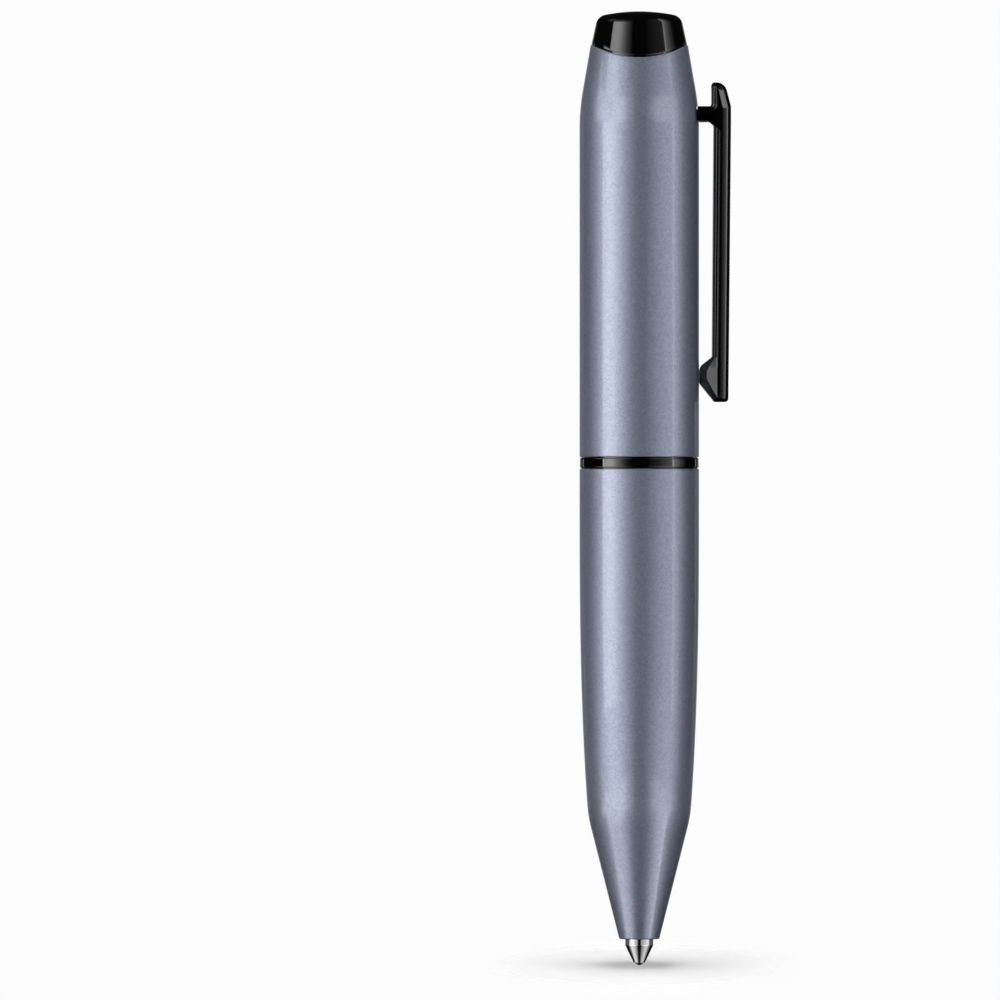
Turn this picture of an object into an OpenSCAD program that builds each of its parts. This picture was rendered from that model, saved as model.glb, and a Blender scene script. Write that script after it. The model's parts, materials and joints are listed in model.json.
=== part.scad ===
// Twist-action pocket ballpoint pen, standing on its writing ball with the point out.
// The pen's axis is Z, the origin is the lowest point of the ball, the clip points to +X.
// Sizes are in millimetres. Turning the rear barrel half a turn draws the point in.

/* [Barrels] */
// Outside diameter of both barrels
barrel_d = 13.14; // [12.6:0.02:14]
// Wall of both barrels where they are cylindrical
barrel_wall = 0.77; // [0.6:0.01:0.9]
// Length of the front barrel, from the nose end to the centre ring
front_len = 51.7; // [49:0.1:57]
// Length of the straight nose cone
nose_len = 13.5; // [12:0.1:15]
// Diameter at the end of the nose cone
nose_end_d = 4.4; // [4.3:0.05:5]
// Diameter where the nose cone meets the body of the barrel
nose_top_d = 11.2; // [10.6:0.1:12]
// Radius of the small round at the nose end
nose_edge_r = 0.19; // [0.05:0.01:0.25]
// Radius of the soft edge between nose cone and body
nose_blend_r = 14; // [4:1:16]
// Length over which the front barrel swells to its full diameter
belly_len = 33.6; // [28:0.1:35]
// How late the swelling comes: 1 is a straight cone, 3 is a full belly
belly_power = 2.65; // [1.5:0.05:4]
// Wall of the nose cone round the refill
nose_wall = 0.95; // [0.8:0.05:1.2]
// Length of the cylindrical part of the rear barrel
rear_cyl_len = 36.1; // [33:0.1:42]
// Length of the rear barrel's tapered end
rear_taper_len = 9.25; // [8.6:0.05:10.5]
// Slope of the tapered end, degrees
rear_taper = 9.8; // [7:0.1:11]
// Radius of the shoulder where the taper starts
shoulder_r = 25; // [10:1:30]
// How far the rear barrel's mouth dips at the front and back
seam_sag = 1.3; // [0.8:0.05:1.5]
// Round on the barrels' edges
edge_r = 0.12; // [0.05:0.01:0.2]

/* [Centre ring] */
// Height of the centre ring
ring_h = 1.1; // [0.8:0.05:2]
// Groove on each side of the centre ring
ring_groove = 0.1; // [0.06:0.01:0.2]
// How far the ring's edge lies below the barrels' surface
ring_inset = 0.03; // [0.01:0.01:0.1]

/* [Crown] */
// Height of the crown above the rim of the rear barrel
crown_h = 3.65; // [3:0.05:6]
// How far the barrel's rim stands outside the crown
crown_step = 0.08; // [0.05:0.01:0.2]
// Slope of the crown's side, degrees
crown_taper = 12.1; // [4:0.1:16]
// Radius of the crown's round top edge
crown_edge_r = 0.9; // [0.4:0.05:1.1]
// Rise of the crown's domed top
crown_dome = 0.3; // [0.1:0.05:0.5]
// Diameter of the crown's spigot, and of the rear barrel's mouth around it
spigot_d = 8; // [7:0.1:8.4]
// Length of the spigot below the rim
spigot_len = 3.2; // [2.6:0.1:3.6]
// Diameter of the stud that screws the crown down
stud_d = 3; // [2:0.1:3.2]
// Length of the stud inside the crown
stud_in_crown = 4; // [3:0.1:5]
// Length of the stud inside the clip block
stud_in_block = 1.8; // [1.2:0.1:2]

/* [Clip] */
// Width of the clip
clip_w = 4.7; // [4:0.1:6]
// Length of the clip
clip_len = 35.1; // [28:0.1:38]
// Thickness of the clip at the bridge
clip_t = 1.97; // [1.7:0.01:2.4]
// Thickness of the clip at its lower end
clip_end_t = 1.82; // [1.5:0.01:2]
// Gap between the clip and the barrel
clip_gap = 1.53; // [1.2:0.01:2.2]
// How far the clip leans in from the bridge to its lower end
clip_lean = 0.33; // [0:0.01:0.5]
// Height of the two horns above the bridge
horn_h = 2.62; // [2:0.02:3]
// How far the horns' back face stands in from the clip's back face
horn_back = 0.2; // [0:0.02:0.4]
// Slope of the horns' front face, degrees
horn_tilt = 14.6; // [8:0.2:20]
// Radius of the horns' front top corner
horn_r = 0.93; // [0.3:0.01:1]
// Radius of the notch between the horns
notch_r = 1.5; // [1:0.05:1.7]
// Depth of the notch between the horns
notch_depth = 0.7; // [0.4:0.05:1]
// Half width of the flat band down the clip's front
face_half = 1.21; // [0.8:0.01:1.5]
// Width of the sloped band beside it
facet_w = 0.89; // [0.4:0.01:1]
// Depth of the sloped band
facet_depth = 0.33; // [0.1:0.01:0.5]
// Size of the small bevel between sloped band and side
side_bevel = 0.28; // [0.1:0.01:0.35]
// Size of the bevels along the clip's back
back_bevel = 0.42; // [0.2:0.01:0.6]
// Distance from the clip's lower end to the low end of the foot's pad
foot_rise = 2.05; // [1.6:0.05:3]
// Height of the foot's pad, which rests on the barrel
foot_pad_h = 1.6; // [1:0.05:2.4]
// Height of the foot's upper slope
foot_slope_h = 1.3; // [0.8:0.05:2]
// Reach of the flat lower end, from the clip's front face
foot_flat = 1.5; // [1.2:0.05:1.7]

/* [Clip hinge] */
// Height of the bridge's middle above the start of the taper
bridge_rise = 1.6; // [1.3:0.05:2]
// Height of the bridge between clip and barrel
bridge_h = 1.65; // [1.4:0.05:1.8]
// Width of the bridge
bridge_w = 3; // [2.4:0.1:3.2]
// Radius under the bridge
bridge_low_r = 0.65; // [0.3:0.05:0.8]
// Radius above the bridge
bridge_top_r = 0.3; // [0.1:0.05:0.4]
// Diameter of the hinge pin
clip_pin_d = 0.8; // [0.6:0.05:0.9]
// Distance of the hinge pin from the pen's axis
clip_pin_x = 3.4; // [3.2:0.05:3.5]
// Reach of the tongue behind the hinge pin
tongue_back = 2.1; // [2:0.05:2.2]
// Opening angle of the clip, degrees
clip_open = 6; // [3:0.5:6.5]
// Diameter of the clip block
block_d = 9.2; // [8.8:0.05:9.4]
// Depth of the clip block below the hinge pin
block_low = 4.7; // [4:0.1:5]
// Height of the clip block above the hinge pin
block_high = 3.8; // [3.6:0.05:3.9]
// Wire of the clip spring
clip_spring_wire = 0.2; // [0.15:0.01:0.25]
// Mean diameter of the clip spring
clip_spring_d = 1.4; // [1.2:0.05:1.5]
// Length of the clip spring
clip_spring_len = 2.3; // [2:0.05:2.5]
// Turns of the clip spring
clip_spring_turns = 4; // [3:1:5]

/* [Refill] */
// Diameter of the writing ball
ball_d = 1; // [0.9:0.05:1.2]
// How much of the ball stands out of the point
ball_show = 0.3; // [0.25:0.01:0.35]
// Length of the point that shows, ball included
point_show = 2.9; // [2.4:0.1:3.4]
// Diameter of the point
point_d = 3.1; // [2.6:0.05:3.2]
// Height of the point's cone above the ball's lowest point
cone_top = 2.2; // [1.8:0.05:2.3]
// Diameter of the point's lip round the ball
lip_d = 1.24; // [1.22:0.02:1.4]
// Length of the point below the refill tube
point_len = 12.5; // [11.5:0.1:13]
// Length of the point's tail inside the refill tube
tail_len = 3; // [2:0.1:4]
// Diameter of the ink channel in the point
channel_d = 0.7; // [0.5:0.05:0.9]
// Outside diameter of the refill tube
refill_d = 4.6; // [4.2:0.05:4.7]
// Wall of the refill tube
refill_wall = 0.3; // [0.2:0.02:0.4]
// Length of the grease that follows the ink
grease_len = 3; // [1:0.5:5]
// Empty length above the grease
headroom = 4; // [2:0.5:8]
// Length of the refill's end plug inside the tube
plug_len = 3; // [2:0.5:4]
// Height of the plug's head
plug_head = 1; // [0.5:0.1:1.5]
// Wire of the return spring
spring_wire = 0.35; // [0.25:0.01:0.4]
// Turns of the return spring
spring_turns = 7; // [5:1:9]
// Height of the bush that guides the point in the nose
nose_bush_h = 1.8; // [1.2:0.1:2]
// Distance of that bush from the nose end
nose_bush_z = 1.5; // [1.3:0.1:1.8]
// Wall of that bush
nose_bush_wall = 0.42; // [0.35:0.01:0.45]

/* [Twist mechanism] */
// Travel of the point
travel = 5.5; // [4.5:0.1:6.5]
// Half turn or less of the rear barrel for the whole travel, degrees
turn = 180; // [120:5:180]
// Length of the coupling inside the front barrel
coupling_in = 8; // [6:0.5:10]
// Wall of the coupling
coupling_wall = 0.85; // [0.75:0.01:0.95]
// Length of the rear barrel's bush
bush_len = 6.5; // [5:0.5:8]
// Wall of the rear barrel's bush
bush_wall = 0.5; // [0.4:0.01:0.6]
// Thickness of the thrust washer
washer_t = 0.3; // [0.2:0.05:0.5]
// Thickness of the retaining ring
retainer_t = 0.6; // [0.4:0.05:0.8]
// Opening of the retaining ring
retainer_mouth = 3; // [2:0.5:5]
// Depth of the retaining ring's groove
retainer_groove = 0.38; // [0.25:0.01:0.45]
// Thickness of the rubber friction ring
friction_d = 1; // [0.9:0.01:1.02]
// Land between two grooves of the coupling
land = 1; // [0.8:0.1:1.5]
// Wall of the guide tube
guide_wall = 0.88; // [0.7:0.02:1]
// Length of the guide tube inside the coupling
guide_in = 8; // [5:0.5:9]
// Solid length of the cam sleeve beyond each end of its slots
cam_land = 3; // [2:0.5:4]
// Diameter of the follower's cross pin
cross_pin_d = 1.2; // [1:0.05:1.4]
// Play of the cross pin in its cam slot, to each side
cam_play = 0.12; // [0.08:0.01:0.16]
// Length of the follower below its cross pin
follower_low = 9; // [8:0.5:10]
// Length of the follower above its cross pin
follower_high = 2.2; // [1.5:0.1:2.5]
// Depth of the follower's socket round the refill
socket_depth = 3; // [2:0.5:4]

/* [Clearances] */
// Radial gap of pieces that are pressed or screwed together
seat_gap = 0.02; // [0.01:0.01:0.03]
// Radial gap of pieces that turn or slide on each other
run_gap = 0.04; // [0.02:0.01:0.08]
// Gap of the point in its bush
point_gap = 0.05; // [0.03:0.01:0.08]
// End play of the rear barrel, and gaps beside the clip's tongue
end_play = 0.06; // [0.04:0.01:0.1]
// Gap round the refill tube and its spring
refill_gap = 0.1; // [0.06:0.01:0.15]
// Gap between the clip's foot and the barrel
foot_gap = 0.03; // [0.02:0.01:0.06]
// Gap between the crown and the barrel's mouth
seam_gap = 0.05; // [0.03:0.01:0.08]

/* [Hidden] */
$fn = 96;
// A cut runs past the face that it opens by this much
over = 1;
// Steps of a round corner, of the belly, of the crown's dome, and of a turn of spring wire
corner_steps = 6;
belly_steps = 14;
dome_steps = 4;
wire_steps = 16;
wire_sides = 6;

lacquer = [0.58, 0.61, 0.69];
gloss_black = [0.06, 0.06, 0.07];
bright_steel = [0.82, 0.82, 0.84];
brass = [0.78, 0.65, 0.36];
acetal = [0.9, 0.89, 0.86];

// Radii, from the barrel's surface inwards
barrel_r = barrel_d / 2;
bore_r = barrel_r - barrel_wall;
bush_r = bore_r - seat_gap;
journal_r = bush_r - bush_wall - run_gap;
guide_r = journal_r - coupling_wall - seat_gap;
guide_bore_r = guide_r - guide_wall;
follower_r = guide_bore_r - run_gap;
cam_bore_r = guide_r + run_gap;
refill_r = refill_d / 2;
refill_bore_r = refill_r - refill_wall;
point_r = point_d / 2;
nose_bush_r = point_r + point_gap + nose_bush_wall;
cross_pin_r = cross_pin_d / 2;
block_r = block_d / 2;
spigot_r = spigot_d / 2;
stud_r = stud_d / 2;
clip_pin_r = clip_pin_d / 2;
friction_groove_r = bore_r - seat_gap - friction_d;
retainer_groove_r = journal_r - retainer_groove;

// Heights, from the ball upwards
z_nose = point_show;
z_kink = z_nose + nose_len;
z_full = z_kink + belly_len;
z_front = z_nose + front_len;
z_ring0 = z_front + ring_groove;
z_ring1 = z_ring0 + ring_h;
z_rear = z_ring1 + ring_groove;
z_shoulder = z_rear + rear_cyl_len;
z_rim = z_shoulder + rear_taper_len;
z_top = z_rim + crown_h;
z_bush1 = z_rear + bush_len;
z_washer = z_bush1 + end_play;
z_retainer = z_washer + washer_t;
z_friction = z_retainer + retainer_t + land;
z_coupling1 = z_friction + friction_d + 2 * end_play + land;
cam_half = (cross_pin_r + cam_play) / cos(atan(travel / (turn * PI / 180 * cam_bore_r)));
z_cam0 = z_coupling1 + land;
z_pin = z_cam0 + cam_land + cam_half;
z_cam1 = z_pin + travel + cam_half + cam_land;
z_guide0 = z_coupling1 - guide_in;
z_guide1 = z_pin + travel + follower_high + land / 2;
z_follower0 = z_pin - follower_low;
z_follower1 = z_pin + follower_high;
z_refill1 = z_follower0 + socket_depth;
z_plug = z_refill1 - plug_head;
z_nose_bush = z_nose + nose_bush_z;
z_spring = z_nose_bush + nose_bush_h;
z_bridge = z_shoulder + bridge_rise;
z_block0 = z_bridge - block_low;
z_block1 = z_bridge + block_high;
z_bridge0 = z_bridge - bridge_h / 2;
z_bridge1 = z_bridge + bridge_h / 2;
z_clip1 = z_bridge1 + horn_h;
z_clip0 = z_clip1 - clip_len;

// The rear barrel's rim, and the cylinder that cuts its mouth
arc_drop = shoulder_r * (1 - cos(rear_taper));
arc_rise = shoulder_r * sin(rear_taper);
rim_r = barrel_r - arc_drop - (rear_taper_len - arc_rise) * tan(rear_taper);
seam_r = (rim_r * rim_r + seam_sag * seam_sag) / (2 * seam_sag);
z_seam = z_rim - seam_sag + seam_r;

// The clip's faces
clip_back = barrel_r + clip_gap;
clip_front = clip_back + clip_t;
horn_x = clip_back - horn_back;
clip_low_front = clip_front - clip_lean;
clip_low_back = clip_low_front - clip_end_t;
foot_x = barrel_r + foot_gap;
tongue_x = clip_pin_x - tongue_back;
// Half length of the hinge pin in the block, and the axis of the spring under the tongue
pin_half = sqrt(block_r * block_r - pow(clip_pin_x + clip_pin_r, 2)) - 2 * end_play;
clip_spring_x = (tongue_x + clip_pin_x - clip_pin_r) / 2;
// Room that the tongue needs when the clip opens
tongue_drop = tongue_back * sin(clip_open) + end_play;
bridge_lift = (barrel_r - clip_pin_x) * sin(clip_open) + 2 * end_play;

// Radius of the front barrel's surface at a height between nose cone and full diameter
function belly_r(z) =
    barrel_r - (barrel_r - nose_top_d / 2) * pow(max(0, z_full - z) / belly_len, belly_power);
// Radius of the nose cone at a height
function cone_r(z) = (nose_end_d + (nose_top_d - nose_end_d) * (z - z_nose) / nose_len) / 2;

function unit(v) = v / norm(v);
// Points of the arc of radius r that rounds the corner at b between a and c
function corner(a, b, c, r) =
    let (
        u = unit(a - b),
        v = unit(c - b),
        half = acos(u * v) / 2,
        middle = b + unit(u + v) * r / sin(half),
        from = b + u * r / tan(half) - middle,
        to = b + v * r / tan(half) - middle,
        start = atan2(from[1], from[0]),
        sweep = (atan2(to[1], to[0]) - start + 540) % 360 - 180
    )
    [for (i = [0:corner_steps])
        let (angle = start + sweep * i / corner_steps)
        middle + r * [cos(angle), sin(angle)]];
// An outline of [x, y, radius] points with each corner rounded by its radius
function rounded(points) =
    let (n = len(points))
    [for (i = [0:n - 1])
        let (p = points[i], a = points[(i + n - 1) % n], c = points[(i + 1) % n])
        each (p[2] == 0 ? [[p[0], p[1]]]
            : corner([a[0], a[1]], [p[0], p[1]], [c[0], c[1]], p[2]))];

module turned(points) {
    rotate_extrude() polygon(rounded(points));
}

module tube(r, bore, z0, z1) {
    translate([0, 0, z0]) difference() {
        cylinder(r = r, h = z1 - z0);
        translate([0, 0, -over]) cylinder(r = bore, h = z1 - z0 + 2 * over);
    }
}

module rod(r, z0, z1) {
    translate([0, 0, z0]) cylinder(r = r, h = z1 - z0);
}

// A rod along Y through a point of the plane y = 0
module cross_rod(r, x, z, half_len) {
    translate([x, half_len, z]) rotate([90, 0, 0]) cylinder(r = r, h = 2 * half_len);
}

// A box centred on the plane y = 0
module slot_box(x0, x1, width, z0, z1) {
    translate([x0, -width / 2, z0]) cube([x1 - x0, width, z1 - z0]);
}

// A side outline in x and z, as thick as width and centred on the plane y = 0
module plate(points, width) {
    translate([0, width / 2, 0]) rotate([90, 0, 0])
        linear_extrude(height = width) polygon(rounded(points));
}

// A coil of round wire: its rings follow a helix whose wire touches both end planes
module coil(mean_r, wire_r, z0, z1, turns) {
    rise = z1 - z0 - 2 * wire_r;
    count = turns * wire_steps;
    points = [for (i = [0:count], j = [0:wire_sides - 1])
        let (
            along = 360 * i / wire_steps,
            round_wire = 360 * j / wire_sides,
            r = mean_r + wire_r * cos(round_wire)
        )
        [r * cos(along), r * sin(along),
            z0 + wire_r + rise * i / count + wire_r * sin(round_wire)]];
    sides = [for (i = [0:count - 1], j = [0:wire_sides - 1])
        let (k = (j + 1) % wire_sides, a = i * wire_sides, b = a + wire_sides)
        each [[a + j, b + j, b + k], [a + j, b + k, a + k]]];
    ends = [[for (j = [0:wire_sides - 1]) j],
        [for (j = [wire_sides - 1:-1:0]) count * wire_sides + j]];
    polyhedron(points = points, faces = concat(sides, ends), convexity = 10);
}

// The front barrel: a nose cone, then a belly that swells to the full diameter
module front_barrel() {
    chamber_z = z_kink + belly_len / 3;
    color(lacquer) difference() {
        turned(concat(
            [[0, z_nose, 0], [nose_end_d / 2, z_nose, nose_edge_r],
                [nose_top_d / 2, z_kink, nose_blend_r]],
            [for (i = [1:belly_steps])
                let (z = z_kink + belly_len * i / belly_steps) [belly_r(z), z, 0]],
            [[barrel_r, z_front, edge_r], [0, z_front, 0]]));
        rod(point_r + 2 * point_gap, z_nose - over, z_front);
        rod(nose_bush_r + seat_gap, z_nose_bush, z_front);
        rod(refill_r + refill_gap, z_spring, z_front);
        rod(cone_r(point_len) - nose_wall, point_len, z_front);
        rod(nose_top_d / 2 - nose_wall, z_kink, z_front);
        rod(belly_r(chamber_z) - nose_wall, chamber_z, z_front);
        rod(bore_r, z_front - coupling_in - end_play, z_front + over);
    }
}

// The bush that guides the point, pressed into the nose
module nose_bush() {
    color(acetal) tube(nose_bush_r, point_r + point_gap, z_nose_bush, z_spring);
}

// The spring between that bush and the refill tube
module return_spring() {
    color(bright_steel)
        coil((point_r + refill_r) / 2, spring_wire / 2, z_spring, point_len, spring_turns);
}

// The coupling: screwed into the front barrel, and the journal of the rear barrel
module centre_coupling() {
    color(brass) difference() {
        union() {
            rod(bush_r, z_front - coupling_in, z_front);
            rod(journal_r, z_front, z_coupling1);
        }
        rod(guide_r - guide_wall, z_front - coupling_in - over, z_guide0 + over);
        rod(guide_r + seat_gap, z_guide0, z_coupling1 + over);
        tube(journal_r + over, retainer_groove_r, z_retainer, z_retainer + retainer_t);
        tube(journal_r + over, friction_groove_r, z_friction, z_friction + friction_d + 2 * end_play);
    }
}

// The black ring between the barrels, seated on the coupling's shoulder
module centre_ring() {
    color(gloss_black) difference() {
        union() {
            turned([[0, z_ring0, 0], [barrel_r - ring_inset, z_ring0, edge_r],
                [barrel_r - ring_inset, z_ring1, edge_r], [0, z_ring1, 0]]);
            rod(bush_r, z_front, z_ring1);
        }
        rod(journal_r + seat_gap, z_front - over, z_ring1 + over);
    }
}

// The guide tube: two straight slots let the cross pin slide but not turn
module guide_tube() {
    slot_low = z_pin - cross_pin_r - end_play;
    slot_high = z_pin + travel + cross_pin_r + end_play;
    color(brass) difference() {
        tube(guide_r, guide_bore_r, z_guide0, z_guide1);
        translate([-cross_pin_r - run_gap, -barrel_r, slot_low])
            cube([cross_pin_d + 2 * run_gap, barrel_d, slot_high - slot_low]);
    }
}

// The washer between the rear barrel's bush and the retaining ring
module thrust_washer() {
    color(acetal) tube(bore_r - end_play, journal_r + run_gap, z_washer, z_retainer);
}

// The open ring that keeps the rear barrel on the coupling
module retaining_ring() {
    color(bright_steel) difference() {
        tube(bore_r - 2 * end_play, retainer_groove_r + seat_gap, z_retainer, z_retainer + retainer_t);
        slot_box(0, barrel_r, retainer_mouth, z_retainer - over, z_retainer + over);
    }
}

// The rubber ring whose rub on the rear barrel's bore makes the twist smooth
module friction_ring() {
    color("dimgray") translate([0, 0, z_friction + friction_d / 2 + end_play])
        rotate_extrude() translate([friction_groove_r + friction_d / 2, 0]) circle(d = friction_d);
}

// The cylinder along Y that cuts the rear barrel's mouth, so that it dips in front and behind
module seam_cylinder(gap) {
    cross_rod(seam_r - gap, 0, z_seam, 2 * barrel_r);
}

// The rear barrel: cylinder, round shoulder, taper, and a dipped mouth for the crown
module rear_barrel() {
    color(lacquer) difference() {
        turned([[0, z_rear, 0], [barrel_r, z_rear, edge_r],
            [barrel_r, z_shoulder + shoulder_r * tan(rear_taper / 2), shoulder_r],
            [rim_r - over * tan(rear_taper), z_rim + over, 0], [0, z_rim + over, 0]]);
        rod(bore_r, z_rear - over, z_block0 - end_play);
        rod(block_r + seat_gap, z_block0 - over, z_block1);
        rod(spigot_r, z_block1 - over, z_rim + over);
        slot_box(clip_pin_x, barrel_d, bridge_w + 2 * end_play,
            z_bridge0 - end_play, z_bridge1 + bridge_lift);
        seam_cylinder(0);
    }
}

// The bush pressed into the rear barrel's lower end, which turns on the coupling
module rear_bush() {
    color(acetal) tube(bush_r, journal_r + run_gap, z_rear, z_bush1);
}

// The cam sleeve: two helical slots lift the cross pin as the rear barrel turns
module cam_sleeve() {
    half_angle = cam_half * turn / travel;
    height = travel + 2 * cam_half;
    twist = height * turn / travel;
    color(acetal) difference() {
        tube(bore_r - seat_gap, cam_bore_r, z_cam0, z_cam1);
        for (side = [0, 180])
            rotate([0, 0, 90 + side + half_angle]) translate([0, 0, z_pin - cam_half])
                linear_extrude(height = height, twist = twist, slices = 56, segments = 14) polygon(concat(
                    [for (a = [-half_angle:half_angle / 3:half_angle + 0.01])
                        (bore_r + over) * [cos(a), sin(a)]],
                    [for (a = [half_angle:-half_angle / 3:-half_angle - 0.01])
                        (cam_bore_r - over / 2) * [cos(a), sin(a)]]));
    }
}

// The block inside the taper: it carries the clip's hinge and takes the crown's stud
module clip_block() {
    color(brass) difference() {
        rod(block_r, z_block0, z_block1);
        slot_box(tongue_x - end_play, barrel_r, bridge_w + 2 * end_play,
            z_bridge0 - tongue_drop, z_bridge1 + bridge_lift);
        cross_rod(clip_pin_r + seat_gap, clip_pin_x, z_bridge, pin_half + end_play);
        translate([clip_spring_x, 0, 0])
            rod(clip_spring_d / 2 + clip_spring_wire / 2 + end_play, z_bridge0 - clip_spring_len, z_bridge);
        rod(stud_r + seat_gap, z_block1 - stud_in_block, z_block1 + over);
    }
}

// The pin on which the clip turns
module clip_pin() {
    color(bright_steel) cross_rod(clip_pin_r, clip_pin_x, z_bridge, pin_half);
}

// The small spring under the clip's tongue, which closes the clip
module clip_spring() {
    color(bright_steel) translate([clip_spring_x, 0, 0])
        coil(clip_spring_d / 2, clip_spring_wire / 2, z_bridge0 - clip_spring_len, z_bridge0,
            clip_spring_turns);
}

// The crown: a tapered black cap with a domed top, closed on the barrel's dipped mouth
module crown() {
    base_z = z_rim - seam_sag - over;
    base_r = rim_r - crown_step + (z_rim - base_z) * tan(crown_taper);
    top_r = rim_r - crown_step - (crown_h - crown_dome) * tan(crown_taper);
    dome_r = (top_r * top_r + crown_dome * crown_dome) / (2 * crown_dome);
    dome = [for (i = [1:dome_steps])
        let (x = top_r * (1 - i / dome_steps)) [x, z_top - dome_r + sqrt(dome_r * dome_r - x * x), 0]];
    color(gloss_black) difference() {
        union() {
            intersection() {
                turned(concat([[0, base_z, 0], [base_r, base_z, 0],
                    [top_r, z_top - crown_dome, crown_edge_r]], dome));
                seam_cylinder(seam_gap);
            }
            rod(spigot_r - run_gap, z_rim - spigot_len, z_rim);
        }
        rod(stud_r + seat_gap, z_rim - spigot_len - over, z_rim - spigot_len + stud_in_crown);
    }
}

// The stud that draws the crown down onto the clip block
module crown_stud() {
    color(bright_steel)
        rod(stud_r, z_block1 - stud_in_block, z_rim - spigot_len + stud_in_crown);
}

// The clip's cross-section, front towards +x, as long as height
module clip_section(z0, z1) {
    half = clip_w / 2;
    side = [[0, face_half], [-facet_depth, face_half + facet_w], [-facet_depth - side_bevel, half],
        [back_bevel - clip_t, half], [-clip_t, half - back_bevel], [-clip_front, half - back_bevel]];
    other_side = [for (i = [len(side) - 1:-1:0]) [side[i][0], -side[i][1]]];
    translate([0, 0, z0]) linear_extrude(height = z1 - z0) polygon(concat(side, other_side));
}

// The clip: a bevelled bar with two horns above, a foot below, and a bridge into the barrel
module clip() {
    lean = atan(clip_lean / (z_bridge0 - z_clip0));
    color(gloss_black) difference() {
        union() {
            intersection() {
                plate([[horn_x, z_clip1, 0.25], [clip_front - horn_h * tan(horn_tilt), z_clip1, horn_r],
                    [clip_front, z_bridge1, 1], [clip_front, z_bridge0, 0],
                    [clip_low_front, z_clip0, 0.35], [clip_low_front - foot_flat, z_clip0, 0.3],
                    [foot_x, z_clip0 + foot_rise, 0.2], [foot_x, z_clip0 + foot_rise + foot_pad_h, 0.4],
                    [clip_low_back, z_clip0 + foot_rise + foot_pad_h + foot_slope_h, 0.25],
                    [clip_back, z_bridge0 - over, 0], [clip_back, z_bridge, 0], [horn_x, z_bridge, 0]],
                    clip_w + over);
                union() {
                    translate([clip_front, 0, 0]) clip_section(z_bridge0, z_clip1 + over);
                    translate([clip_front, 0, z_bridge0]) rotate([0, lean, 0])
                        clip_section(-clip_len, 0);
                }
            }
            plate([[tongue_x, z_bridge0, 0.3], [clip_back, z_bridge0, bridge_low_r],
                [clip_back, z_bridge0 - over, 0], [clip_back + over / 2, z_bridge0 - over, 0],
                [clip_back + over / 2, z_bridge1 + over, 0], [horn_x, z_bridge1 + over, 0],
                [horn_x, z_bridge1, bridge_top_r], [tongue_x, z_bridge1, 0.3]], bridge_w);
        }
        cross_rod(clip_pin_r + run_gap, clip_pin_x, z_bridge, bridge_w);
        translate([clip_front - clip_t - over, 0, z_clip1 - notch_depth + notch_r]) rotate([0, 90, 0])
            cylinder(r = notch_r, h = clip_t + 2 * over);
    }
}

// The refill's tube, seated in the follower's socket
module refill_tube() {
    color(brass) tube(refill_r, refill_bore_r, point_len, z_plug);
}

// The point: a steel rod with a cone that holds the ball, and a tail in the refill tube
module point_body() {
    color(bright_steel) difference() {
        turned([[0, ball_show, 0], [lip_d / 2, ball_show, 0.05], [point_r, cone_top, 0.12],
            [point_r, point_len, 0], [refill_bore_r - seat_gap, point_len, 0],
            [refill_bore_r - seat_gap, point_len + tail_len, 0.2], [0, point_len + tail_len, 0]]);
        translate([0, 0, ball_d / 2]) sphere(r = ball_d / 2 + seat_gap);
        rod(channel_d / 2, ball_d / 2, point_len + tail_len + over);
    }
}

// The ink in the tube
module ink_column() {
    color("navy") rod(refill_bore_r - seat_gap, point_len + tail_len + end_play,
        z_plug - plug_len - headroom - grease_len);
}

// The grease that follows the ink down
module grease_plug() {
    color("lemonchiffon") rod(refill_bore_r - seat_gap, z_plug - plug_len - headroom - grease_len,
        z_plug - plug_len - headroom);
}

// The vented plug in the refill's upper end
module refill_plug() {
    color("white") difference() {
        union() {
            rod(refill_bore_r - seat_gap, z_plug - plug_len, z_plug);
            turned([[0, z_plug, 0], [refill_r, z_plug, 0], [refill_r, z_refill1, 0.3], [0, z_refill1, 0]]);
        }
        rod(channel_d / 2, z_plug - plug_len - over, z_refill1 + over);
    }
}

// The follower: it slides in the guide tube and carries the refill in its socket
module follower() {
    color(acetal) difference() {
        rod(follower_r, z_follower0, z_follower1);
        rod(refill_r + run_gap, z_follower0 - over, z_refill1);
        cross_rod(cross_pin_r + seat_gap, 0, z_pin, barrel_r);
    }
}

// The pin across the follower, out through the guide tube into the cam sleeve
module cross_pin() {
    color(bright_steel) cross_rod(cross_pin_r, 0, z_pin, bore_r - 2 * end_play);
}

// The ball that writes
module writing_ball() {
    color("silver") translate([0, 0, ball_d / 2]) sphere(r = ball_d / 2);
}

front_barrel();
nose_bush();
return_spring();
centre_coupling();
centre_ring();
guide_tube();
thrust_washer();
retaining_ring();
friction_ring();
rear_barrel();
rear_bush();
cam_sleeve();
clip_block();
clip_pin();
clip_spring();
crown();
crown_stud();
clip();
refill_tube();
point_body();
ink_column();
grease_plug();
refill_plug();
follower();
cross_pin();
writing_ball();
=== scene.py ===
import json
import math

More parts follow.
